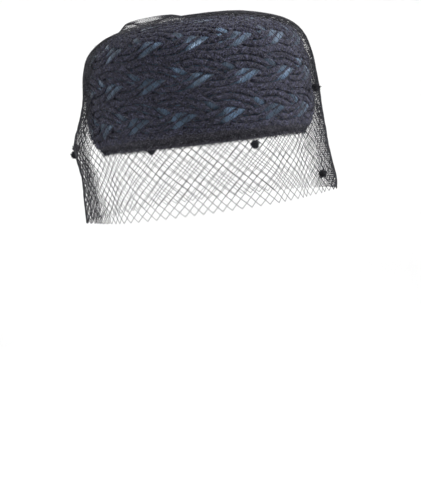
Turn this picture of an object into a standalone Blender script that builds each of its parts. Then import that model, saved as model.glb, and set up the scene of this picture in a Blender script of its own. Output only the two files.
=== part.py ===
# Pillbox hat of plaited satin ribbon and yarn, with a dotted nose veil.
# Metres, +Z up, the brow towards -Y. The origin is the middle of the head opening, in the rim's plane.
import math

import bmesh
import bpy
import numpy as np
from mathutils import Vector

# Crown: a stiff cloth shell, open below
CROWN_HEIGHT = 0.0895
BELLY_HALF_WIDTH = 0.0850
BELLY_HALF_LENGTH = 0.0900
CROWN_WALL = 0.0016
SHELL_COLUMNS = 32

# Rim binding: a soft yarn edge folded over the crown's rim
BINDING_HEIGHT = 0.0062
BINDING_THICKNESS = 0.0012

# Plaits: flat three-strand plaits laid round the crown in rows, from the binding to the plain middle of the tip
PLAIN_TIP_RADIUS = 0.0160
ROW_COUNT = 5
ROW_GAP = 0.0006
STRAND_THICKNESS = 0.0012
STRAND_CLEARANCE = 0.0006
STRAND_WAVE = 0.1120
STATIONS_PER_WAVE = 12

# Veil: a wide net caught down on the tip, which falls over the brow
VEIL_DROP = 0.0520
VEIL_THICKNESS = 0.0010
VEIL_BAR = 0.0026
VEIL_GAP = 0.0012
VEIL_LEAN = 0.0028
VEIL_LEAN_ANGLE = 65.0
VEIL_FALL = 0.0052
VEIL_FOLD = 0.0028
VEIL_PUFF = 0.0050
VEIL_DIP = 0.0060
VEIL_DIP_ANGLE = -55.0
VEIL_COLUMNS = 12
GATHER_RADIUS = 0.0050
GATHER_SHIFT_X = -0.0300
GATHER_SHIFT_Y = 0.0140
GATHER_SPREAD = 0.0120
GATHER_PUFF = 0.0050
SOLID_RINGS = 1
BENT_FROM_RING = 1.9
BENT_TO_RING = 4.6

# Dots: tufts of chenille tied on the net's crossings
DOT_DIAMETER = 0.0066

# The gap that neighbouring pieces keep
SEAT_GAP = 0.0003

# Crown profile: height as a share of CROWN_HEIGHT, reach as a share of the belly's half width
CROWN_SECTIONS = [
    # place, height, reach
    ("rim", 0.000, 0.905),
    ("tuck", 0.045, 0.948),
    ("binding", 0.125, 0.978),
    ("belly", 0.270, 1.000),
    ("side", 0.540, 0.988),
    ("shoulder", 0.670, 0.972),
    ("bend", 0.800, 0.925),
    ("edge", 0.895, 0.807),
    ("dome", 0.960, 0.606),
    ("crest", 0.985, 0.440),
    ("tip", 1.000, 0.000),
]

# How far each plait row is turned, from the rim up, in waves of its strands
ROW_SHIFTS = [0.114, 0.304, 0.304, 0.100, 0.000]

# A plait is as wide as this many of its strands, and a strand keeps its depth over this share
# of the room beside it
STRANDS_ACROSS = 3.0
COVER_MARGIN = 0.7

# Rings of net crossings below the gather: where each lies, as a share of the way from place to place
VEIL_RINGS = [
    # ring, from, to, share
    ("puff", "tip", "edge", 0.30),
    ("edge", "tip", "edge", 0.94),
    ("side", "edge", "belly", 0.53),
    ("rim", "belly", "hem", 0.34),
    ("hem", "belly", "hem", 1.00),
]

# Puffs of the net off its even fall: depth as a share of VEIL_PUFF
VEIL_PUFFS = [
    # place, angle, height share, angle spread, height spread share, depth
    ("back_right", -115.0, 0.06, 24.0, 0.20, 1.0),
    ("front_left", 68.0, -0.45, 24.0, 0.22, 0.6),
]

# Dots: the angle round the hat and the height as a share of CROWN_HEIGHT, seated on the nearest bar
DOTS = [
    # dot, angle, height
    ("dot_brow", -5.0, -0.08),
    ("dot_left_brow", 44.0, 0.34),
    ("dot_left_hem", 44.0, -0.51),
    ("dot_right_temple", -126.0, 0.04),
    ("dot_right_low", -123.0, -0.02),
    ("dot_right_top", -139.0, 0.94),
    ("dot_back", 180.0, -0.06),
    ("dot_back_left", 120.0, 0.35),
    ("dot_back_right", -160.0, 0.42),
    ("dot_back_top", 165.0, 0.96),
]

MEAN_HALF = (BELLY_HALF_WIDTH + BELLY_HALF_LENGTH) / 2


def smooth_step(value):
    share = min(max(value, 0.0), 1.0)
    return share * share * (3 - 2 * share)


def crown_profile(samples=24):
    """The crown's outline as a smooth curve: run from the rim, reach share and height of each point."""
    rows = [(row[2], row[1]) for row in CROWN_SECTIONS]
    before = (2 * rows[0][0] - rows[1][0], 2 * rows[0][1] - rows[1][1])
    after = (-rows[-2][0], rows[-2][1])
    knots = np.array([before] + rows + [after])
    points = []
    for index in range(1, len(knots) - 2):
        a, b, c, d = knots[index - 1:index + 3]
        for step in range(samples):
            t = step / samples
            points.append(0.5 * (2 * b + (c - a) * t + (2 * a - 5 * b + 4 * c - d) * t * t
                                 + (3 * b - a - 3 * c + d) * t ** 3))
    points.append(knots[-2])
    points = np.array(points)
    reach = points[:, 0]
    height = points[:, 1] * CROWN_HEIGHT
    steps = np.hypot(np.diff(reach) * MEAN_HALF, np.diff(height))
    run = np.concatenate([[0.0], np.cumsum(steps)])
    places = {row[0]: run[index * samples] for index, row in enumerate(CROWN_SECTIONS)}
    return run, reach, height, places


RUN, REACH, HEIGHT, PLACES = crown_profile()
REACH_SLOPE = np.gradient(REACH, RUN)
HEIGHT_SLOPE = np.gradient(HEIGHT, RUN)

# The plait rows share the room from the binding to the plain middle of the tip
PLAIT_ROOM = PLACES["tip"] - PLAIN_TIP_RADIUS - BINDING_HEIGHT - ROW_GAP
ROW_HEIGHT = PLAIT_ROOM / ROW_COUNT
STRAND_WIDTH = (ROW_HEIGHT - ROW_GAP) / STRANDS_ACROSS
SWAY = (ROW_HEIGHT - STRAND_WIDTH - ROW_GAP) / 2
LIFT = (STRAND_THICKNESS + STRAND_CLEARANCE) / 2
CHORD_SAG = (STRAND_WAVE / STATIONS_PER_WAVE) ** 2 / (8 * MEAN_HALF)
PLAIT_BED = SEAT_GAP + 1.2 * CHORD_SAG + STRAND_THICKNESS / 2
PLAIT_OUTSIDE = PLAIT_BED + 2 * LIFT + STRAND_THICKNESS / 2


def on_crown(angle, run, offset):
    """A point of the crown's outside at an angle from the brow and a run from the rim, moved outwards."""
    reach = np.interp(run, RUN, REACH)
    x = BELLY_HALF_WIDTH * reach * math.sin(angle)
    y = -BELLY_HALF_LENGTH * reach * math.cos(angle)
    z = np.interp(run, RUN, HEIGHT)
    climb = np.interp(run, RUN, HEIGHT_SLOPE)
    widen = np.interp(run, RUN, REACH_SLOPE)
    outward = Vector((BELLY_HALF_LENGTH * climb * math.sin(angle),
                      -BELLY_HALF_WIDTH * climb * math.cos(angle),
                      -BELLY_HALF_WIDTH * BELLY_HALF_LENGTH * widen))
    return Vector((x, y, z)) + outward.normalized() * offset


def make_material(name, colour, roughness, metallic=0.0):
    material = bpy.data.materials.new(name)
    material.use_nodes = True
    shader = material.node_tree.nodes["Principled BSDF"]
    shader.inputs["Base Color"].default_value = (*colour, 1.0)
    shader.inputs["Roughness"].default_value = roughness
    shader.inputs["Metallic"].default_value = metallic
    return material


def make_object(name, mesh, collection, material):
    piece = bpy.data.objects.new(name, mesh)
    mesh.materials.append(material)
    collection.objects.link(piece)
    return piece


def mesh_from(name, bm):
    mesh = bpy.data.meshes.new(name)
    bm.to_mesh(mesh)
    bm.free()
    return mesh


def ring_body(name, stations, corners, place):
    """A closed ring: a torus whose corners are placed by place(station share, corner).

    The corners run out along one face and back along the other, and each four-sided face is split
    towards the same edge on both, so a thin twisted wall keeps its thickness.
    """
    bpy.ops.mesh.primitive_torus_add(major_segments=stations, minor_segments=corners)
    torus = bpy.context.object
    bm = bmesh.new()
    bm.from_mesh(torus.data)
    bm.verts.ensure_lookup_table()
    for index, vert in enumerate(bm.verts):
        vert.co = place((index // corners) / stations, index % corners)
    returning = [face for face in bm.faces
                 if {vert.index % corners for vert in face.verts} & set(range(corners // 2 + 1, corners))]
    turned = set(returning)
    leading = [face for face in bm.faces if face not in turned]
    bmesh.ops.triangulate(bm, faces=leading, quad_method="FIXED")
    bmesh.ops.triangulate(bm, faces=returning, quad_method="ALTERNATE")
    bmesh.ops.recalc_face_normals(bm, faces=bm.faces)
    if bm.calc_volume(signed=True) < 0:
        bmesh.ops.reverse_faces(bm, faces=bm.faces)
    spare = torus.data
    bpy.data.objects.remove(torus)
    bpy.data.meshes.remove(spare)
    return mesh_from(name, bm)


def make_crown(collection, material):
    """The shell: the profile spun round, squeezed to the head's oval and given its wall inwards."""
    bm = bmesh.new()
    runs = [PLACES[row[0]] for row in CROWN_SECTIONS]
    verts = [bm.verts.new((0.0, -BELLY_HALF_LENGTH * np.interp(run, RUN, REACH), np.interp(run, RUN, HEIGHT)))
             for run in runs]
    edges = [bm.edges.new(pair) for pair in zip(verts, verts[1:])]
    bmesh.ops.spin(bm, geom=verts + edges, axis=(0, 0, 1), cent=(0, 0, 0), angle=math.tau,
                   steps=SHELL_COLUMNS, use_merge=True)
    bmesh.ops.remove_doubles(bm, verts=bm.verts, dist=0.00001)
    bmesh.ops.scale(bm, vec=(BELLY_HALF_WIDTH / BELLY_HALF_LENGTH, 1, 1), verts=bm.verts)
    bmesh.ops.recalc_face_normals(bm, faces=bm.faces)
    crown = make_object("crown", mesh_from("crown", bm), collection, material)
    wall = crown.modifiers.new("wall", "SOLIDIFY")
    wall.thickness = CROWN_WALL
    wall.offset = -1
    return crown


def make_binding(collection, material):
    """The soft edge: a fold of yarn cloth that wraps the rim and keeps a small gap to it."""
    outside = SEAT_GAP + BINDING_THICKNESS
    inside = -CROWN_WALL - SEAT_GAP - BINDING_THICKNESS
    corners = [
        # run, offset, drop
        (BINDING_HEIGHT, SEAT_GAP, 0.0),
        (BINDING_HEIGHT * 0.8, outside, 0.0),
        (0.0, outside, BINDING_THICKNESS),
        (0.0, inside, BINDING_THICKNESS),
        (BINDING_HEIGHT * 0.7, inside, 0.0),
        (BINDING_HEIGHT * 0.7, -CROWN_WALL - SEAT_GAP, 0.0),
        (0.0, -CROWN_WALL - SEAT_GAP, SEAT_GAP),
        (0.0, SEAT_GAP, SEAT_GAP),
    ]

    def place(share, corner):
        run, offset, drop = corners[corner]
        return on_crown(share * math.tau, run, offset) - Vector((0, 0, drop))

    mesh = ring_body("rim_binding", SHELL_COLUMNS, len(corners), place)
    return make_object("rim_binding", mesh, collection, material)


def strand_sway(angle, waves, shift, strand):
    """How far a strand's middle lies above its row's middle."""
    return SWAY * math.sin(waves * angle + math.tau * (shift + strand / 3))


def cover(distance, half):
    """1 where a strand covers a place, falling to 0 before the next strand's middle."""
    reach = 1.5 * SWAY - half
    margin = COVER_MARGIN * (reach - half)
    return 1 - smooth_step((abs(distance) - half - margin) / (reach - half - margin))


def make_strand(name, row_index, strand, collection, material):
    """One strand of a flat plait: it sways from edge to edge, over one neighbour and under the other."""
    shift = ROW_SHIFTS[row_index % len(ROW_SHIFTS)]
    middle = BINDING_HEIGHT + ROW_GAP + (row_index + 0.5) * ROW_HEIGHT
    radius = MEAN_HALF * np.interp(middle, RUN, REACH)
    waves = max(2, round(math.tau * radius / STRAND_WAVE))
    steepest = math.hypot(1, SWAY * waves / radius)
    half = STRAND_WIDTH / 2 * steepest
    section = [
        # across, out, as shares of half the width and half the thickness
        (-1.0, 0.0),
        (0.0, 1.0),
        (1.0, 0.0),
        (0.0, -1.0),
    ]

    def place(share, corner):
        angle = (share - shift / waves) * math.tau
        across, out = section[corner]
        slope = SWAY * waves / radius * math.cos(waves * angle + math.tau * (shift + strand / 3))
        spot = strand_sway(angle, waves, shift, strand) + across * STRAND_WIDTH / 2 * math.hypot(1, slope)
        above = cover(spot - strand_sway(angle, waves, shift, strand + 1), half)
        below = cover(spot - strand_sway(angle, waves, shift, strand + 2), half)
        depth = PLAIT_BED + LIFT * (1 + below - above) + out * STRAND_THICKNESS / 2
        return on_crown(angle, middle + spot, depth)

    mesh = ring_body(name, waves * STATIONS_PER_WAVE, len(section), place)
    return make_object(name, mesh, collection, material)


def veil_length(place):
    """The way along the net from the middle of the tip to a place."""
    if place == "hem":
        belly_height = np.interp(PLACES["belly"], RUN, HEIGHT)
        return PLACES["tip"] - PLACES["belly"] + belly_height + VEIL_DROP
    if place == "rim":
        return PLACES["tip"] - PLACES["belly"] + np.interp(PLACES["belly"], RUN, HEIGHT)
    return PLACES["tip"] - PLACES[place]


def veil_stand_off(angle, height, way):
    """How far the net stands off the plaits: it leans to one side, fills out below and falls in folds."""
    leaning = 0.5 + 0.5 * math.cos(angle - math.radians(VEIL_LEAN_ANGLE))
    laid = smooth_step(way / veil_length("edge"))
    freed = smooth_step((way - veil_length("side")) / (veil_length("rim") - veil_length("side")))
    hanging = smooth_step((way - veil_length("shoulder")) / (veil_length("hem") - veil_length("shoulder")))
    off = VEIL_LEAN * leaning * laid + VEIL_FALL * freed * (1 - leaning)
    off += VEIL_FOLD * hanging * math.cos(VEIL_COLUMNS / 2 * angle)
    for _, puff_angle, puff_height, spread, height_spread, depth in VEIL_PUFFS:
        turn = math.remainder(math.degrees(angle) - puff_angle, 360.0) / spread
        rise = (height / CROWN_HEIGHT - puff_height) / height_spread
        off += VEIL_PUFF * depth * math.exp(-turn * turn - rise * rise)
    puffed = (way - GATHER_RADIUS - GATHER_SPREAD) / GATHER_SPREAD
    off += GATHER_PUFF * math.exp(-2 * puffed * puffed)
    caught = smooth_step(2 - way / GATHER_RADIUS)
    return off * (1 - caught) - (VEIL_GAP - SEAT_GAP) * caught


def on_veil(angle, way):
    """A point of the net at an angle from the brow and a way from the gather."""
    belly = veil_length("belly")
    if way > belly:
        fallen = (way - belly) / (veil_length("hem") - belly)
        dip = VEIL_DIP * fallen * math.cos(angle - math.radians(VEIL_DIP_ANGLE))
        height = np.interp(PLACES["belly"], RUN, HEIGHT) - (way - belly) - dip
        off = PLAIT_OUTSIDE + VEIL_GAP + VEIL_THICKNESS / 2 + veil_stand_off(angle, height, way)
        top = on_crown(angle, PLACES["belly"], off)
        return Vector((top.x, top.y, height))
    run = PLACES["tip"] - way
    reach = np.interp(run, RUN, REACH)
    height = np.interp(run, RUN, HEIGHT)
    off = PLAIT_OUTSIDE + VEIL_GAP + VEIL_THICKNESS / 2 + veil_stand_off(angle, height, way)
    pull = max(0.0, 1 - (reach / np.interp(PLACES["edge"], RUN, REACH)) ** 2)
    x = BELLY_HALF_WIDTH * reach * math.sin(angle) + GATHER_SHIFT_X * pull
    y = -BELLY_HALF_LENGTH * reach * math.cos(angle) + GATHER_SHIFT_Y * pull
    if pull > 0:
        ahead = y / -BELLY_HALF_LENGTH
        beside = x / BELLY_HALF_WIDTH
        moved = math.hypot(ahead, beside)
        dome = RUN >= PLACES["bend"]
        run = np.interp(moved, REACH[dome][::-1], RUN[dome][::-1])
        return on_crown(math.atan2(beside, ahead), run, off)
    return on_crown(angle, run, off)


def make_veil(collection, material):
    """The net: a ringed tube made into diamonds, each pierced, with a solid gathered middle."""
    ways = [GATHER_RADIUS]
    for _, start, end, share in VEIL_RINGS:
        ways.append(veil_length(start) + share * (veil_length(end) - veil_length(start)))
    rows = len(ways) - 1
    bm = bmesh.new()
    bmesh.ops.create_cone(bm, segments=VEIL_COLUMNS, radius1=1, radius2=1, depth=rows, cap_ends=False)
    uprights = [edge for edge in bm.edges if abs(edge.verts[0].co.z - edge.verts[1].co.z) > 0.5]
    bmesh.ops.subdivide_edges(bm, edges=uprights, cuts=rows - 1)
    crossings = [edge for edge in bm.edges if len(edge.link_faces) == 2]
    bmesh.ops.poke(bm, faces=bm.faces)
    bmesh.ops.dissolve_edges(bm, edges=crossings, use_verts=False)
    hem = [face for face in bm.faces if len(face.verts) == 3 and face.calc_center_median().z < 0]
    bmesh.ops.delete(bm, geom=hem, context="FACES")
    solid_above = rows / 2 - SOLID_RINGS
    gaps = [face for face in bm.faces if max(vert.co.z for vert in face.verts) < solid_above + 0.1]
    bent = [edge for edge in bm.edges
            if BENT_FROM_RING < rows / 2 - (edge.verts[0].co.z + edge.verts[1].co.z) / 2 < BENT_TO_RING]
    bmesh.ops.bisect_edges(bm, edges=bent, cuts=1)
    collar = [edge for edge in bm.edges if all(vert.co.z > rows / 2 - 0.1 for vert in edge.verts)]
    for vert in bm.verts:
        way = np.interp(rows / 2 - vert.co.z, range(rows + 1), ways)
        vert.co = on_veil(math.atan2(vert.co.x, -vert.co.y), way)
    bars = [(edge.verts[0].co.copy(), edge.verts[1].co.copy()) for edge in bm.edges]
    bmesh.ops.holes_fill(bm, edges=collar, sides=VEIL_COLUMNS)
    bmesh.ops.inset_individual(bm, faces=gaps, thickness=VEIL_BAR / 2, use_even_offset=True)
    bmesh.ops.delete(bm, geom=gaps, context="FACES")
    bmesh.ops.recalc_face_normals(bm, faces=bm.faces)
    veil = make_object("veil", mesh_from("veil", bm), collection, material)
    wall = veil.modifiers.new("wall", "SOLIDIFY")
    wall.thickness = VEIL_THICKNESS
    wall.offset = 0
    return bars


def nearest_on_bars(point, bars):
    """The place on the net's bars nearest to a point."""
    nearest = None
    for start, end in bars:
        along = (point - start).dot(end - start) / (end - start).length_squared
        spot = start.lerp(end, min(max(along, 0.0), 1.0))
        if nearest is None or (spot - point).length < (nearest - point).length:
            nearest = spot
    return nearest


def make_dot(name, angle, height, bars, collection, material):
    """A tuft of chenille on the outside of the net, at the bar nearest to its angle and height."""
    turn = math.radians(angle)
    ways = np.linspace(veil_length("edge"), veil_length("hem"), 200)
    way = min(ways, key=lambda length: abs(on_veil(turn, length).z - height * CROWN_HEIGHT))
    seat = nearest_on_bars(on_veil(turn, way), bars)
    across = on_veil(turn + 0.05, way) - on_veil(turn - 0.05, way)
    down = on_veil(turn, way + 0.002) - on_veil(turn, way - 0.002)
    outward = down.cross(across).normalized()
    centre = seat + outward * (DOT_DIAMETER / 2 + VEIL_THICKNESS / 2 + SEAT_GAP)
    bm = bmesh.new()
    bmesh.ops.create_icosphere(bm, subdivisions=2, radius=DOT_DIAMETER / 2)
    bmesh.ops.translate(bm, vec=centre, verts=bm.verts)
    make_object(name, mesh_from(name, bm), collection, material)


def build():
    for piece in list(bpy.data.objects):
        bpy.data.objects.remove(piece)
    hat = bpy.data.collections.new("pillbox_hat")
    bpy.context.scene.collection.children.link(hat)
    cloth = make_material("crown_cloth", (0.012, 0.013, 0.022), 0.85)
    yarn = make_material("binding_yarn", (0.008, 0.009, 0.016), 0.95)
    satin = make_material("ribbon_satin", (0.020, 0.032, 0.060), 0.38)
    net = make_material("veil_net", (0.006, 0.006, 0.009), 0.60)
    chenille = make_material("dot_chenille", (0.004, 0.004, 0.006), 0.95)
    make_crown(hat, cloth)
    make_binding(hat, yarn)
    for row_index in range(ROW_COUNT):
        for strand in range(3):
            make_strand(f"row_{row_index + 1}_strand_{strand + 1}", row_index, strand, hat, satin)
    bars = make_veil(hat, net)
    for name, angle, height in DOTS:
        make_dot(name, angle, height, bars, hat, chenille)


build()
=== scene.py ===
import math
import random

import bmesh
import bpy
import numpy as np
from mathutils import Matrix, Vector, noise


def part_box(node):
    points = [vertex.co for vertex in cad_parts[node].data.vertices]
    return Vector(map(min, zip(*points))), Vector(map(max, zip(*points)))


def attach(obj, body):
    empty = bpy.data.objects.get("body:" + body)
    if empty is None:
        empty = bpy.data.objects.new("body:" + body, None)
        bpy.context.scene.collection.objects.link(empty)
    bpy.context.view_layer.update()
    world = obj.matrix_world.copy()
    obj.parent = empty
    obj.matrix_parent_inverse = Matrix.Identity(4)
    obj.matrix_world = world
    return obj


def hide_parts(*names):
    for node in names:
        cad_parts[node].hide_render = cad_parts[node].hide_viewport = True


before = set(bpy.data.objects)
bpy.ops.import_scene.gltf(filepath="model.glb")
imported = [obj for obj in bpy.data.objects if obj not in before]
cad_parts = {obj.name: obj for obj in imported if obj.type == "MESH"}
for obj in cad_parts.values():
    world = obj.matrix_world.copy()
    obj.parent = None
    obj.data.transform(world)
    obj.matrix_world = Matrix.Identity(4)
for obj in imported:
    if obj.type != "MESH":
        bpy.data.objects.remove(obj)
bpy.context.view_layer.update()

# Crown: one shell of stiffened dark navy cloth with a soft nap, blocked to the head's oval.
# Its side swells a little to the belly and rolls over into a gently domed tip. It is open
# below, and its inside shows from underneath.
crown_height = 0.0895
belly_half_width = 0.0850
belly_half_length = 0.0900
crown_wall = 0.0016
shell_columns = 128
crown_sections = [
    # place, height, reach
    ("rim", 0.000, 0.905),
    ("tuck", 0.045, 0.948),
    ("binding", 0.125, 0.978),
    ("belly", 0.270, 1.000),
    ("side", 0.540, 0.988),
    ("shoulder", 0.670, 0.972),
    ("bend", 0.800, 0.925),
    ("edge", 0.895, 0.807),
    ("dome", 0.960, 0.606),
    ("crest", 0.985, 0.440),
    ("tip", 1.000, 0.000),
]
mean_half = (belly_half_width + belly_half_length) / 2


def smooth_step(value):
    share = min(max(value, 0.0), 1.0)
    return share * share * (3 - 2 * share)


def crown_outline(samples=24):
    rows = [(row[2], row[1]) for row in crown_sections]
    before = (2 * rows[0][0] - rows[1][0], 2 * rows[0][1] - rows[1][1])
    after = (-rows[-2][0], rows[-2][1])
    knots = np.array([before] + rows + [after])
    points = []
    for index in range(1, len(knots) - 2):
        a, b, c, d = knots[index - 1:index + 3]
        for step in range(samples):
            t = step / samples
            points.append(0.5 * (2 * b + (c - a) * t + (2 * a - 5 * b + 4 * c - d) * t * t
                                 + (3 * b - a - 3 * c + d) * t ** 3))
    points.append(knots[-2])
    points = np.array(points)
    reach = points[:, 0]
    height = points[:, 1] * crown_height
    steps = np.hypot(np.diff(reach) * mean_half, np.diff(height))
    run = np.concatenate([[0.0], np.cumsum(steps)])
    return run, reach, height, {row[0]: run[index * samples] for index, row in enumerate(crown_sections)}


crown_run, crown_reach, crown_rise, crown_places = crown_outline()
reach_slope = np.gradient(crown_reach, crown_run)
rise_slope = np.gradient(crown_rise, crown_run)


def on_crown(angle, run, offset):
    reach = np.interp(run, crown_run, crown_reach)
    climb = np.interp(run, crown_run, rise_slope)
    widen = np.interp(run, crown_run, reach_slope)
    outward = Vector((belly_half_length * climb * math.sin(angle),
                      -belly_half_width * climb * math.cos(angle),
                      -belly_half_width * belly_half_length * widen))
    return Vector((belly_half_width * reach * math.sin(angle),
                   -belly_half_length * reach * math.cos(angle),
                   np.interp(run, crown_run, crown_rise))) + outward.normalized() * offset


def add_piece(name, data, material):
    piece = bpy.data.objects.new(name, data)
    data.materials.append(material)
    bpy.context.scene.collection.objects.link(piece)
    return piece


def mesh_of(name, bm):
    mesh = bpy.data.meshes.new(name)
    bm.to_mesh(mesh)
    bm.free()
    mesh.shade_smooth()
    return mesh


def cloth_material(name, dark, light, roughness, scale, depth):
    """A napped cloth: two dark tones in fine grain, a soft sheen and a bump of the same grain."""
    material = bpy.data.materials.new(name)
    material.use_nodes = True
    nodes = material.node_tree.nodes
    links = material.node_tree.links
    shader = nodes["Principled BSDF"]
    place = nodes.new("ShaderNodeTexCoord")
    grain = nodes.new("ShaderNodeTexNoise")
    grain.inputs["Scale"].default_value = scale
    grain.inputs["Detail"].default_value = 6.0
    grain.inputs["Roughness"].default_value = 0.7
    tones = nodes.new("ShaderNodeValToRGB")
    tones.color_ramp.elements[0].position = 0.46
    tones.color_ramp.elements[0].color = (*dark, 1.0)
    tones.color_ramp.elements[1].position = 0.68
    tones.color_ramp.elements[1].color = (*light, 1.0)
    bump = nodes.new("ShaderNodeBump")
    bump.inputs["Strength"].default_value = 0.8
    bump.inputs["Distance"].default_value = depth
    links.new(place.outputs["Object"], grain.inputs["Vector"])
    links.new(grain.outputs["Fac"], tones.inputs["Fac"])
    links.new(grain.outputs["Fac"], bump.inputs["Height"])
    links.new(tones.outputs["Color"], shader.inputs["Base Color"])
    links.new(bump.outputs["Normal"], shader.inputs["Normal"])
    shader.inputs["Roughness"].default_value = roughness
    shader.inputs["Specular IOR Level"].default_value = 0.25
    shader.inputs["Sheen Weight"].default_value = 0.06
    shader.inputs["Sheen Roughness"].default_value = 0.5
    shader.inputs["Sheen Tint"].default_value = (0.55, 0.55, 0.75, 1.0)
    return material


crown_cloth = cloth_material("crown_cloth", (0.003, 0.003, 0.007), (0.066, 0.068, 0.105), 0.9, 900.0, 0.0006)
bm = bmesh.new()
shell_runs = np.linspace(0.0, crown_places["tip"], 60)
shell_points = [on_crown(0.0, run, 0.0) for run in shell_runs[:-1]] + [Vector((0.0, 0.0, crown_height))]
verts = [bm.verts.new((0.0, point.y, point.z)) for point in shell_points]
edges = [bm.edges.new(pair) for pair in zip(verts, verts[1:])]
bmesh.ops.spin(bm, geom=verts + edges, axis=(0, 0, 1), cent=(0, 0, 0), angle=math.tau,
               steps=shell_columns, use_merge=True)
bmesh.ops.remove_doubles(bm, verts=bm.verts, dist=0.00001)
bmesh.ops.scale(bm, vec=(belly_half_width / belly_half_length, 1, 1), verts=bm.verts)
bmesh.ops.recalc_face_normals(bm, faces=bm.faces)
crown = add_piece("crown_shell", mesh_of("crown_shell", bm), crown_cloth)
wall = crown.modifiers.new("wall", "SOLIDIFY")
wall.thickness = crown_wall
wall.offset = -1
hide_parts("crown")
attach(crown, "root")

# Rim binding: a fold of soft chenille yarn cloth that wraps the crown's edge inside and out.
# It is stitched through the rim, so it is plump and slightly uneven, with a nap of short hairs.
binding_height = 0.0062
binding_thickness = 0.0012
seat_gap = 0.0003
binding_stations = 520
lump_seed = 7
noise.seed_set(lump_seed)  # without it the yarns' lumps follow the clock


def ring_mesh(name, stations, corners, place):
    """A closed ring from a grid rolled up both ways, with a map that runs once along and once across it."""
    bm = bmesh.new()
    bmesh.ops.create_grid(bm, x_segments=stations, y_segments=corners, size=0.5)
    around = bm.loops.layers.uv.new("along")
    for face in bm.faces:
        for loop in face.loops:
            loop[around].uv = (loop.vert.co.x + 0.5, loop.vert.co.y + 0.5)
    for vert in bm.verts:
        share = round((vert.co.x + 0.5) * stations) % stations / stations
        turn = round((vert.co.y + 0.5) * corners) % corners / corners
        vert.co = place(share, turn)
    bmesh.ops.remove_doubles(bm, verts=bm.verts, dist=0.0000005)
    bmesh.ops.recalc_face_normals(bm, faces=bm.faces)
    if bm.calc_volume(signed=True) < 0:
        bmesh.ops.reverse_faces(bm, faces=bm.faces)
    return mesh_of(name, bm)


binding_section = [
    # run as a share of the binding's height, offset from the crown's outside
    (0.95, seat_gap),
    (1.00, seat_gap + binding_thickness * 0.6),
    (0.75, seat_gap + binding_thickness * 1.5),
    (0.35, seat_gap + binding_thickness * 1.6),
    (0.00, seat_gap + binding_thickness * 1.2),
    (-0.28, seat_gap),
    (-0.32, -crown_wall / 2),
    (-0.28, -crown_wall - seat_gap),
    (0.00, -crown_wall - seat_gap - binding_thickness),
    (0.35, -crown_wall - seat_gap - binding_thickness * 1.1),
    (0.62, -crown_wall - seat_gap - binding_thickness * 0.6),
    (0.66, -crown_wall - seat_gap),
]


def binding_point(share, turn):
    height, offset = binding_section[round(turn * len(binding_section)) % len(binding_section)]
    angle = share * math.tau
    point = on_crown(angle, max(height, 0.0) * binding_height, offset)
    point.z += min(height, 0.0) * binding_height
    free = 0.0 if -crown_wall - 2 * seat_gap < offset < 2 * seat_gap else 1.0
    lumps = noise.noise_vector(point * 260) * 0.0007 + noise.noise_vector(point * 900) * 0.0005
    return point + lumps * free


binding_dark = (0.004, 0.004, 0.007)
binding_light = (0.092, 0.088, 0.108)
binding_yarn = cloth_material("binding_yarn", binding_dark, binding_light, 0.95, 900.0, 0.0010)
binding = add_piece("rim_binding_yarn",
                    ring_mesh("rim_binding_yarn", binding_stations, len(binding_section), binding_point),
                    binding_yarn)
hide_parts("rim_binding")
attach(binding, "root")

# Plait ribbons: five rows of a flat three-strand plait, laid round the crown and stitched down.
# Each strand is two narrow satin ribbons with crosswise ribs, side by side, and passes over one
# neighbour and under the other.
plain_tip_radius = 0.0160
row_count = 5
row_gap = 0.0006
strand_thickness = 0.0012
strand_clearance = 0.0006
strand_wave = 0.1120
solid_stations = 12
row_shifts = [0.114, 0.304, 0.304, 0.100, 0.000]
cover_margin = 0.7
row_height = (crown_places["tip"] - plain_tip_radius - binding_height - row_gap) / row_count
strand_width = (row_height - row_gap) / 3.0
sway = (row_height - strand_width - row_gap) / 2
lift = (strand_thickness + strand_clearance) / 2
plait_bed = (seat_gap + 1.2 * (strand_wave / solid_stations) ** 2 / (8 * mean_half) + strand_thickness / 2)
plait_outside = plait_bed + 2 * lift + strand_thickness / 2
ribbon_half = 0.00205
ribbon_place = 0.00280
ribbon_thickness = 0.0004
ribbon_dome = 0.00012
rib_pitch = 0.00125
stations_per_wave = 48
rising_float = 0.50
falling_float = 0.10
float_fade = 0.34
ribbon_rise = 0.0003
ribbon_sink = 0.0015


def row_facts(row):
    middle = binding_height + row_gap + (row + 0.5) * row_height
    radius = mean_half * np.interp(middle, crown_run, crown_reach)
    waves = max(2, round(math.tau * radius / strand_wave))
    return middle, radius, waves


def strand_sway(angle, waves, shift, strand):
    return sway * math.sin(waves * angle + math.tau * (shift + strand / 3))


def cover(distance, half):
    reach = 1.5 * sway - half
    margin = cover_margin * (reach - half)
    return 1 - smooth_step((abs(distance) - half - margin) / (reach - half - margin))


def on_strand(row, strand, angle, across, out):
    """A point of a strand, across metres from its middle line and out metres from its middle layer."""
    middle, radius, waves = row_facts(row)
    shift = row_shifts[row]
    half = strand_width / 2 * math.hypot(1, sway * waves / radius)
    slope = sway * waves / radius * math.cos(waves * angle + math.tau * (shift + strand / 3))
    spot = strand_sway(angle, waves, shift, strand) + across * math.hypot(1, slope)
    above = cover(spot - strand_sway(angle, waves, shift, strand + 1), half)
    below = cover(spot - strand_sway(angle, waves, shift, strand + 2), half)
    return on_crown(angle, middle + spot, plait_bed + lift * (1 + below - above) + out)


def floating(row, strand, angle):
    """1 where a strand crosses the row in the open, 0 where it turns; a rising float is the longer one."""
    waves = row_facts(row)[2]
    phase = waves * angle + math.tau * (row_shifts[row] + strand / 3)
    open_share = rising_float if math.cos(phase) > 0 else falling_float
    return 1 - smooth_step((abs(math.sin(phase)) - open_share) / float_fade)


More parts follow.
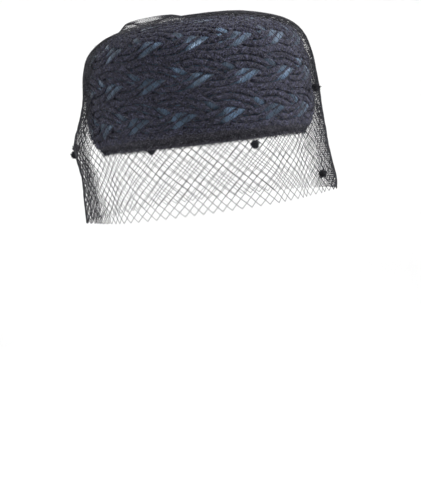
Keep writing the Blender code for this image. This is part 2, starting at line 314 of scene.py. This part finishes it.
def satin_material(name, ribs):
    """Ribbed satin: navy with a painted steel-blue highlight in noise patches, painted brighter sheen
    patches, and painted shade between the crosswise ribs.
    """
    material = bpy.data.materials.new(name)
    material.use_nodes = True
    nodes = material.node_tree.nodes
    links = material.node_tree.links
    shader = nodes["Principled BSDF"]
    along = nodes.new("ShaderNodeUVMap")
    along.uv_map = "along"
    split = nodes.new("ShaderNodeSeparateXYZ")
    phase = nodes.new("ShaderNodeMath")
    phase.operation = "MULTIPLY"
    phase.inputs[1].default_value = ribs * math.tau
    rib = nodes.new("ShaderNodeMath")
    rib.operation = "SINE"
    place = nodes.new("ShaderNodeTexCoord")
    # Painted highlight: a noise blends the navy towards a painted steel-blue highlight colour.
    painted_highlight_noise = nodes.new("ShaderNodeTexNoise")
    painted_highlight_noise.inputs["Scale"].default_value = 160.0
    painted_highlight_noise.inputs["Detail"].default_value = 4.0
    tones = nodes.new("ShaderNodeValToRGB")
    tones.color_ramp.elements[0].position = 0.30
    tones.color_ramp.elements[0].color = (0.020, 0.032, 0.052, 1.0)
    tones.color_ramp.elements[1].position = 0.70
    tones.color_ramp.elements[1].color = (0.125, 0.205, 0.330, 1.0)
    # Painted shade: the colour darkens towards near black between the crosswise ribs.
    shade = nodes.new("ShaderNodeMapRange")
    shade.inputs["From Min"].default_value = -0.9
    shade.inputs["From Max"].default_value = 0.5
    # Painted sheen: large patches brighten the colour where the satin is made glossier; elsewhere the colour
    # sinks to near black.
    painted_sheen_patches = nodes.new("ShaderNodeMapRange")
    painted_sheen_patches.inputs["From Min"].default_value = 0.44
    painted_sheen_patches.inputs["From Max"].default_value = 0.66
    painted_sheen_patches.inputs["To Min"].default_value = 0.10
    # The painted rib shade and the painted sheen patches together set how far the colour goes from near black
    # to the highlight tones.
    lit = nodes.new("ShaderNodeMath")
    lit.operation = "MULTIPLY"
    mixed = nodes.new("ShaderNodeMix")
    mixed.data_type = "RGBA"
    mixed.inputs["A"].default_value = (0.004, 0.006, 0.012, 1.0)
    patches = nodes.new("ShaderNodeTexNoise")
    patches.inputs["Scale"].default_value = 48.0
    patches.inputs["Detail"].default_value = 2.0
    gleam = nodes.new("ShaderNodeMapRange")
    gleam.inputs["From Min"].default_value = 0.38
    gleam.inputs["From Max"].default_value = 0.66
    gleam.inputs["To Min"].default_value = 0.62
    gleam.inputs["To Max"].default_value = 0.28
    bump = nodes.new("ShaderNodeBump")
    bump.inputs["Strength"].default_value = 0.9
    bump.inputs["Distance"].default_value = 0.00022
    links.new(along.outputs["UV"], split.inputs["Vector"])
    links.new(split.outputs["X"], phase.inputs[0])
    links.new(phase.outputs["Value"], rib.inputs[0])
    links.new(rib.outputs["Value"], shade.inputs["Value"])
    links.new(place.outputs["Object"], painted_highlight_noise.inputs["Vector"])
    links.new(painted_highlight_noise.outputs["Fac"], tones.inputs["Fac"])
    links.new(place.outputs["Object"], patches.inputs["Vector"])
    links.new(patches.outputs["Fac"], gleam.inputs["Value"])
    links.new(gleam.outputs["Result"], shader.inputs["Roughness"])
    links.new(patches.outputs["Fac"], painted_sheen_patches.inputs["Value"])
    links.new(shade.outputs["Result"], lit.inputs[0])
    links.new(painted_sheen_patches.outputs["Result"], lit.inputs[1])
    links.new(lit.outputs["Value"], mixed.inputs["Factor"])
    links.new(tones.outputs["Color"], mixed.inputs["B"])
    links.new(mixed.outputs["Result"], shader.inputs["Base Color"])
    links.new(rib.outputs["Value"], bump.inputs["Height"])
    links.new(bump.outputs["Normal"], shader.inputs["Normal"])
    shader.inputs["Specular IOR Level"].default_value = 0.80
    shader.inputs["Specular Tint"].default_value = (0.55, 0.75, 1.0, 1.0)
    return material


for row in range(row_count):
    _, radius, waves = row_facts(row)
    ribs = round(math.tau * radius * math.hypot(1, 0.7 * sway * waves / radius) / rib_pitch)
    satin = satin_material(f"ribbon_satin_{row + 1}", ribs)
    for strand in range(3):
        for side, edge in enumerate((-1, 1)):
            def ribbon_point(share, turn):
                angle = (share - row_shifts[row] / waves) * math.tau
                across = math.copysign(abs(math.cos(turn * math.tau)) ** 0.6, math.cos(turn * math.tau))
                out = ribbon_thickness / 2 * math.sin(turn * math.tau) + ribbon_dome * (1 - across * across)
                sunk = 1 - floating(row, strand, angle)
                beside = edge * ribbon_place + across * ribbon_half * (1 - 0.15 * sunk)
                return on_strand(row, strand, angle, beside, out + ribbon_rise - ribbon_sink * sunk)

            name = f"plait_{row + 1}_strand_{strand + 1}_ribbon_{side + 1}"
            ribbon = add_piece(name, ring_mesh(name, waves * stations_per_wave, 10, ribbon_point), satin)
            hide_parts(f"row_{row + 1}_strand_{strand + 1}")
            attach(ribbon, "root")

# Plait yarns: a soft dark wool yarn lies between and beside the two ribbons of each strand.
# It is plump and uneven, so it fills the valleys between the ribbons and hides the ground.
yarn_lines = [
    # across as a share of the strand's half width, thickness, out
    (0.00, 0.0022, 0.0001),
    (-1.16, 0.0022, 0.0000),
    (1.16, 0.0022, 0.0000),
]
yarn_stations_per_wave = 90
wool = cloth_material("wool_yarn", (0.0015, 0.0015, 0.004), (0.096, 0.098, 0.158), 0.95, 900.0, 0.0010)
for row in range(row_count):
    waves = row_facts(row)[2]
    for strand in range(3):
        for line, (across_share, thickness, out) in enumerate(yarn_lines):
            def yarn_point(share, turn):
                angle = (share - row_shifts[row] / waves) * math.tau
                sunk = 1 - floating(row, strand, angle)
                middle_line = on_strand(row, strand, angle, across_share * strand_width / 2, out)
                swell = 0.6 + 0.35 * noise.noise(middle_line * 260) + 1.1 * sunk
                beside = across_share * strand_width / 2 + thickness * 0.6 * swell * math.cos(turn * math.tau)
                spot = on_strand(row, strand, angle, beside,
                                 out + thickness / 2 * min(swell, 1.3) * math.sin(turn * math.tau))
                return spot + noise.noise_vector(spot * 620) * 0.0010 * (0.5 + 0.5 * sunk)

            name = f"plait_{row + 1}_strand_{strand + 1}_yarn_{line + 1}"
            yarn = add_piece(name, ring_mesh(name, waves * yarn_stations_per_wave, 6, yarn_point), wool)
            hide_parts(f"row_{row + 1}_strand_{strand + 1}")
            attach(yarn, "root")

# Filling yarns: a thick loose wool yarn is laid in the valley beside each plait row.
# It hides the stitching and the crown's cloth, from the binding up to the plain tip.
filling_thickness = 0.0030
filling_pitch = 0.0011
for line in range(row_count + 1):
    run = binding_height + row_gap + line * row_height
    radius = mean_half * np.interp(run, crown_run, crown_reach)

    def filling_point(share, turn):
        angle = share * math.tau
        middle_line = on_crown(angle, run, 0.0)
        swell = 1 + 0.5 * noise.noise(middle_line * 240)
        beside = filling_thickness * 0.8 * swell * math.cos(turn * math.tau)
        out = 0.0010 + filling_thickness / 2 * swell * math.sin(turn * math.tau)
        spot = on_crown(angle, run + beside + 0.0012 * noise.noise(middle_line * 90), max(out, seat_gap))
        return spot + noise.noise_vector(spot * 560) * 0.0010

    name = f"filling_yarn_{line + 1}"
    stations = round(math.tau * radius / filling_pitch)
    filling = add_piece(name, ring_mesh(name, stations, 8, filling_point), wool)
    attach(filling, "root")

# Wool hairs: fine loose fibres stand off the yarns and the rim binding all over the hat.
# They soften every edge, and a few paler ones are coloured pale as painted glints, specks of light on the
# wool.
dice = random.Random(7)


def hair_curves(name, thickness):
    curve = bpy.data.curves.new(name, "CURVE")
    curve.dimensions = "3D"
    curve.bevel_depth = thickness / 2
    curve.bevel_resolution = 0
    return curve


def add_hair(curve, root, outward, along, length):
    lean = along * dice.uniform(-1, 1) + outward * dice.uniform(0.2, 1.0)
    lean = lean.normalized() * length
    curl = Vector((dice.uniform(-1, 1), dice.uniform(-1, 1), dice.uniform(-1, 1))) * length * 0.3
    line = curve.splines.new("POLY")
    line.points.add(2)
    bends = (root, root + lean * 0.5 + curl, root + lean)
    for point, spot, width in zip(line.points, bends, (1.0, 0.8, 0.3)):
        point.co = (*spot, 1.0)
        point.radius = width


hair_sets = [
    # name, hairs on the plaits, hairs on the rim, thickness, dark, light
    ("dark_hairs", 7000, 5000, 0.00036, (0.004, 0.004, 0.007), (0.030, 0.030, 0.042)),
    # The pale hairs' light colour is a painted glint.
    ("painted_glint_hairs", 3400, 500, 0.00028, (0.050, 0.054, 0.074), (0.420, 0.430, 0.480)),
]
for name, on_plaits, on_rim, thickness, dark, light in hair_sets:
    hairs = hair_curves(name, thickness)
    for _ in range(on_plaits):
        row = dice.choices(range(row_count), weights=(5, 5, 5, 3, 1))[0]
        strand = dice.randrange(3)
        angle = dice.uniform(0, math.tau)
        across = dice.choice((-1.1, 0.0, 1.1)) * strand_width / 2
        root = on_strand(row, strand, angle, across, 0.0004)
        along = (on_strand(row, strand, angle + 0.02, across, 0.0004) - root).normalized()
        outward = (on_strand(row, strand, angle, across, 0.0014) - root).normalized()
        add_hair(hairs, root, outward, along, dice.uniform(0.0012, 0.0034))
    for _ in range(on_rim):
        angle = dice.uniform(0, math.tau)
        height = dice.triangular(-0.32, 0.95, -0.2)
        root = on_crown(angle, max(height, 0) * binding_height, binding_thickness * dice.uniform(0.2, 1.7))
        root.z += min(height, 0) * binding_height
        droop = dice.uniform(-0.6, 0.2) - 2.4 * max(0.3 - height, 0)
        outward = Vector((math.sin(angle), -math.cos(angle), droop))
        outward.normalize()
        along = Vector((math.cos(angle), math.sin(angle), 0))
        add_hair(hairs, root, outward, along, dice.uniform(0.0012, 0.0028))
    wisps = add_piece(name, hairs, cloth_material(name, dark, light, 0.9, 1800.0, 0.0001))
    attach(wisps, "root")

# Veil: one wide fine net with knotted diamond cells, gathered on the tip and falling loose.
# It lies on the plaits, fills out below them and ends in a cut zigzag hem over the brow.
# At both sides it is folded over on itself, so its threads lie two and three deep there.
veil_drop = 0.0520
veil_thickness = 0.0010
veil_gap = 0.0012
veil_lean = 0.0028
veil_lean_angle = 65.0
veil_fall = 0.0052
veil_fold = 0.0028
veil_puff = 0.0050
veil_dip = 0.0060
veil_dip_angle = -55.0
veil_folds = 6
gather_radius = 0.0050
gather_shift_x = -0.0300
gather_shift_y = 0.0140
gather_spread = 0.0120
gather_puff = 0.0050
veil_puffs = [
    # place, angle, height share, angle spread, height spread share, depth
    ("back_right", -115.0, 0.06, 24.0, 0.20, 1.0),
    ("front_left", 68.0, -0.45, 24.0, 0.22, 0.6),
]
cells_round = 84
cell_rows = 58
thread_thickness = 0.00042
tight_share = 0.45
tight_rows = 22
first_fold_row = 12
side_folds = [
    # middle angle, half width, turn in cells, stand-off
    (66.0, 24.0, 0.33, -0.0005),
    (66.0, 18.0, 0.67, -0.0010),
    (-114.0, 24.0, 0.33, -0.0005),
    (-114.0, 18.0, 0.67, -0.0010),
]


def veil_length(place):
    belly = crown_places["tip"] - crown_places["belly"]
    belly_height = np.interp(crown_places["belly"], crown_run, crown_rise)
    if place == "hem":
        return belly + belly_height + veil_drop
    if place == "rim":
        return belly + belly_height
    return crown_places["tip"] - crown_places[place]


def veil_stand_off(angle, height, way):
    leaning = 0.5 + 0.5 * math.cos(angle - math.radians(veil_lean_angle))
    laid = smooth_step(way / veil_length("edge"))
    freed = smooth_step((way - veil_length("side")) / (veil_length("rim") - veil_length("side")))
    hanging = smooth_step((way - veil_length("shoulder")) / (veil_length("hem") - veil_length("shoulder")))
    off = veil_lean * leaning * laid + veil_fall * freed * (1 - leaning)
    off += veil_fold * hanging * math.cos(veil_folds * angle)
    for _, puff_angle, puff_height, spread, height_spread, depth in veil_puffs:
        turn = math.remainder(math.degrees(angle) - puff_angle, 360.0) / spread
        rise = (height / crown_height - puff_height) / height_spread
        off += veil_puff * depth * math.exp(-turn * turn - rise * rise)
    puffed = (way - gather_radius - gather_spread) / gather_spread
    off += gather_puff * math.exp(-2 * puffed * puffed)
    caught = smooth_step(2 - way / gather_radius)
    return off * (1 - caught) - (veil_gap - seat_gap) * caught


def on_veil(angle, way, loose=0.0):
    belly = veil_length("belly")
    rest = plait_outside + veil_gap + veil_thickness / 2 + loose
    if way > belly:
        fallen = (way - belly) / (veil_length("hem") - belly)
        dip = veil_dip * fallen * math.cos(angle - math.radians(veil_dip_angle))
        height = np.interp(crown_places["belly"], crown_run, crown_rise) - (way - belly) - dip
        top = on_crown(angle, crown_places["belly"], rest + veil_stand_off(angle, height, way))
        return Vector((top.x, top.y, height))
    run = crown_places["tip"] - way
    reach = np.interp(run, crown_run, crown_reach)
    off = rest + veil_stand_off(angle, np.interp(run, crown_run, crown_rise), way)
    pull = max(0.0, 1 - (reach / np.interp(crown_places["edge"], crown_run, crown_reach)) ** 2)
    beside = reach * math.sin(angle) + gather_shift_x * pull / belly_half_width
    ahead = reach * math.cos(angle) - gather_shift_y * pull / belly_half_length
    if pull > 0:
        dome = crown_run >= crown_places["bend"]
        run = np.interp(math.hypot(ahead, beside), crown_reach[dome][::-1], crown_run[dome][::-1])
        return on_crown(math.atan2(beside, ahead), run, off)
    return on_crown(angle, run, off)


def crossing(column, row):
    """A knot of the net: half a cell round for each row, with small folds and slack between the puffs."""
    share = row / cell_rows
    way = gather_radius + (veil_length("hem") - gather_radius) * share
    angle = (column + 0.5 * (row % 2)) / cells_round * math.tau
    spot = Vector((math.cos(angle) * 6, math.sin(angle) * 6, way * 55))
    slack = noise.noise(spot) * 0.9 + noise.noise(spot * 3.1) * 0.5
    fine_fold = 0.0009 * smooth_step(share * 1.6 - 0.5) * math.sin(19 * angle + 2.2 * math.sin(2 * angle))
    return on_veil(angle + 0.006 * noise.noise(spot * 2.3), way, fine_fold + 0.0011 * slack * share)


knots = {(column, row): crossing(column, row)
         for column in range(cells_round) for row in range(cell_rows + 1)}
net = bpy.data.curves.new("veil_net", "CURVE")
folds = bpy.data.curves.new("veil_folds", "CURVE")
for curve in (net, folds):
    curve.dimensions = "3D"
    curve.bevel_depth = thread_thickness / 2
    curve.bevel_resolution = 0


def lay_thread(curve, path, first_row=0):
    """One thread through its knots, drawn thin where the net is pulled tight at the gather."""
    thread = curve.splines.new("POLY")
    thread.points.add(len(path) - 1)
    for row, (point, spot) in enumerate(zip(thread.points, path)):
        point.co = (*spot, 1.0)
        point.radius = tight_share + (1 - tight_share) * smooth_step((first_row + row) / tight_rows)


for start in range(cells_round):
    for hand in (0, 1):
        column = start
        path = [knots[column, 0]]
        for row in range(1, cell_rows + 1):
            step = row % 2
            if hand == 0:
                column = column if step else column + 1
            else:
                column = column - 1 if step else column
            column %= cells_round
            path.append(knots[column, row])
        lay_thread(net, path)
        for middle_angle, half_angle, turned, stand_off in side_folds:
            run = []
            for index, spot in enumerate(path + [None]):
                edge = 0.0 if spot is None else half_angle * (1 + 0.5 * noise.noise(spot * 40))
                bearing = 0.0 if spot is None else math.degrees(math.atan2(spot.x, -spot.y)) - middle_angle
                if spot is not None and index > first_fold_row and abs(math.remainder(bearing, 360.0)) < edge:
                    turn = Matrix.Rotation(math.tau * turned / cells_round, 3, "Z")
                    moved = turn @ spot
                    run.append(moved * (1 + stand_off / max(moved.length, 0.05)))
                else:
                    if len(run) > 1:
                        lay_thread(folds, run, index - len(run))
                    run = []
thread_dark = (0.015, 0.015, 0.018)
thread_light = (0.066, 0.066, 0.077)
thread_material = cloth_material("net_thread", thread_dark, thread_light, 0.70, 300.0, 0.0001)
thread_shader = thread_material.node_tree.nodes["Principled BSDF"]
thread_shader.inputs["Specular IOR Level"].default_value = 0.12
thread_shader.inputs["Sheen Weight"].default_value = 0.0
veil = add_piece("veil_net", net, thread_material)
gathers = add_piece("veil_folds", folds, thread_material)
for piece in (veil, gathers):
    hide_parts("veil")
    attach(piece, "root")

# Net knots: each crossing of the net is knotted, so it shows as a small dark bead of thread.
# Near the gather the net is pulled too tight for them to show, so none is made there.
knot_size = 0.00030
first_knot_row = 10
seed_bm = bmesh.new()
bmesh.ops.create_uvsphere(seed_bm, u_segments=4, v_segments=2, radius=knot_size)
seed = bpy.data.meshes.new("knot_seed")
corner_count = len(seed_bm.verts)
seed_bm.to_mesh(seed)
seed_bm.free()
bm = bmesh.new()
tied = [spot for (_, row), spot in knots.items() if row > first_knot_row for _ in range(corner_count)]
for _ in range(len(tied) // corner_count):
    bm.from_mesh(seed)
for vert, spot in zip(bm.verts, tied):
    vert.co += spot
bpy.data.meshes.remove(seed)
knotted = add_piece("veil_knots", mesh_of("veil_knots", bm), thread_material)
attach(knotted, "root")

# Dots: small tufts of black chenille tied on the net here and there.
# Each is a dense pile of short hairs round a tight knot.
tuft_hairs = 260
tuft_thickness = 0.00045
core_share = 0.90
tuft_dark = (0.002, 0.002, 0.003)
tuft_light = (0.012, 0.012, 0.016)
tuft_cloth = cloth_material("dot_chenille", tuft_dark, tuft_light, 0.95, 1800.0, 0.0004)
for dot in [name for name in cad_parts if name.startswith("dot_")]:
    low, high = (Vector(corner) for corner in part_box(dot))
    middle = (low + high) / 2
    size = min(high - low) / 2
    seat = min(knots.values(), key=lambda spot: (spot - middle).length)
    middle = seat + (middle - seat).normalized() * min(size * 0.7, (middle - seat).length)
    tuft = hair_curves(f"{dot}_tuft", tuft_thickness)
    for _ in range(tuft_hairs):
        ray = Vector((dice.gauss(0, 1), dice.gauss(0, 1), dice.gauss(0, 1))).normalized()
        line = tuft.splines.new("POLY")
        line.points.add(1)
        reach = dice.uniform(0.85, 1.25) * (1 + 0.35 * noise.noise(ray * 1.6 + middle * 300))
        for point, share, width in zip(line.points, (0.35, reach), (1.0, 0.45)):
            point.co = (*(middle + ray * size * share), 1.0)
            point.radius = width
    pile = add_piece(f"{dot}_tuft", tuft, tuft_cloth)
    core = bmesh.new()
    bmesh.ops.create_icosphere(core, subdivisions=3, radius=size * core_share)
    for vert in core.verts:
        lump = 0.35 * noise.noise(vert.co.normalized() * 1.6 + middle * 300)
        vert.co *= 1 + lump + 0.14 * noise.noise(vert.co * 1400)
    bmesh.ops.translate(core, vec=middle, verts=core.verts)
    knot = add_piece(f"{dot}_core", mesh_of(f"{dot}_core", core), tuft_cloth)
    for piece in (pile, knot):
        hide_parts(dot)
        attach(piece, "root")

# Studio: a pale floor that turns up into a pale wall all round, with soft lights.
# The key light comes from the right and above, so the ribbons shine most on that side.
floor_level = -0.34
studio = bmesh.new()
sweep = [(0.0, 0.0), (2.6, 0.0), (2.9, 0.06), (3.15, 0.25), (3.3, 0.6), (3.35, 1.2), (3.35, 3.2)]
verts = [studio.verts.new((reach, 0.0, floor_level + rise)) for reach, rise in sweep]
edges = [studio.edges.new(pair) for pair in zip(verts, verts[1:])]
bmesh.ops.spin(studio, geom=verts + edges, axis=(0, 0, 1), cent=(0, 0, 0), angle=math.tau,
               steps=96, use_merge=True)
bmesh.ops.remove_doubles(studio, verts=studio.verts, dist=0.0001)
bmesh.ops.recalc_face_normals(studio, faces=studio.faces)
bmesh.ops.reverse_faces(studio, faces=studio.faces)
paper = bpy.data.materials.new("studio_paper")
paper.use_nodes = True
paper_nodes = paper.node_tree.nodes
paper_nodes["Principled BSDF"].inputs["Roughness"].default_value = 0.9
paper_place = paper_nodes.new("ShaderNodeTexCoord")
# Painted shade: the paper's colour is darker towards the middle, under the hat, and grows paler out to the
# wall.
from_middle = paper_nodes.new("ShaderNodeVectorMath")
from_middle.operation = "LENGTH"
painted_floor_shade = paper_nodes.new("ShaderNodeMapRange")
painted_floor_shade.inputs["From Min"].default_value = 0.6
painted_floor_shade.inputs["From Max"].default_value = 2.6
painted_floor_shade.inputs["To Min"].default_value = 0.56
painted_floor_shade.inputs["To Max"].default_value = 0.82
paper_links = paper.node_tree.links
paper_links.new(paper_place.outputs["Object"], from_middle.inputs[0])
paper_links.new(from_middle.outputs["Value"], painted_floor_shade.inputs["Value"])
paper_links.new(painted_floor_shade.outputs["Result"], paper_nodes["Principled BSDF"].inputs["Base Color"])
backdrop = add_piece("studio_paper", mesh_of("studio_paper", studio), paper)

view_turn = math.radians(-25.0)
towards = Vector((math.sin(view_turn), -math.cos(view_turn), 0.0))
beside = Vector((math.cos(view_turn), math.sin(view_turn), 0.0))
upwards = Vector((0.0, 0.0, 1.0))
lamps = [
    # name, right, nearer, up, size, power
    ("key", 1.6, 0.4, 0.8, 0.5, 58.0),
    ("fill", -1.4, 0.8, 0.5, 1.0, 12.0),
    ("top", 0.2, -0.5, 1.9, 1.4, 28.0),
    ("back_left", -1.2, -1.2, 0.9, 1.0, 12.0),
    ("back_right", 1.3, -1.1, 0.8, 1.0, 14.0),
]
for name, right, nearer, up, size, power in lamps:
    lamp = bpy.data.lights.new(name, "AREA")
    lamp.size = size
    lamp.energy = power
    light = bpy.data.objects.new(name, lamp)
    bpy.context.scene.collection.objects.link(light)
    light.location = beside * right + towards * nearer + upwards * up
    light.rotation_euler = (-Vector(light.location) + upwards * 0.04).to_track_quat("-Z", "Y").to_euler()
world = bpy.data.worlds.new("studio_air")
world.use_nodes = True
world.node_tree.nodes["Background"].inputs["Color"].default_value = (1.0, 1.0, 1.0, 1.0)
world.node_tree.nodes["Background"].inputs["Strength"].default_value = 0.8
bpy.context.scene.world = world
bpy.context.scene.view_settings.view_transform = "Standard"

# Camera: a long lens stands a little under the level of the rim and looks slightly down.
# It is tipped to one side, so that the rim slopes as it does when the hat is worn.
camera_distance = 1.40
camera_rise = 0.047
aim = beside * -0.0046 + upwards * -0.0871
tip_right = beside * 0.9937 - upwards * 0.1125
lens = bpy.data.cameras.new("camera")
lens.lens = 127.7
lens.sensor_width = 36.0
camera = bpy.data.objects.new("camera", lens)
bpy.context.scene.collection.objects.link(camera)
camera.location = towards * camera_distance + aim + upwards * camera_rise
back = (camera.location - aim).normalized()
right = (tip_right - back * tip_right.dot(back)).normalized()
above = back.cross(right)
camera.rotation_euler = Matrix((right, above, back)).transposed().to_euler()
bpy.context.scene.camera = camera
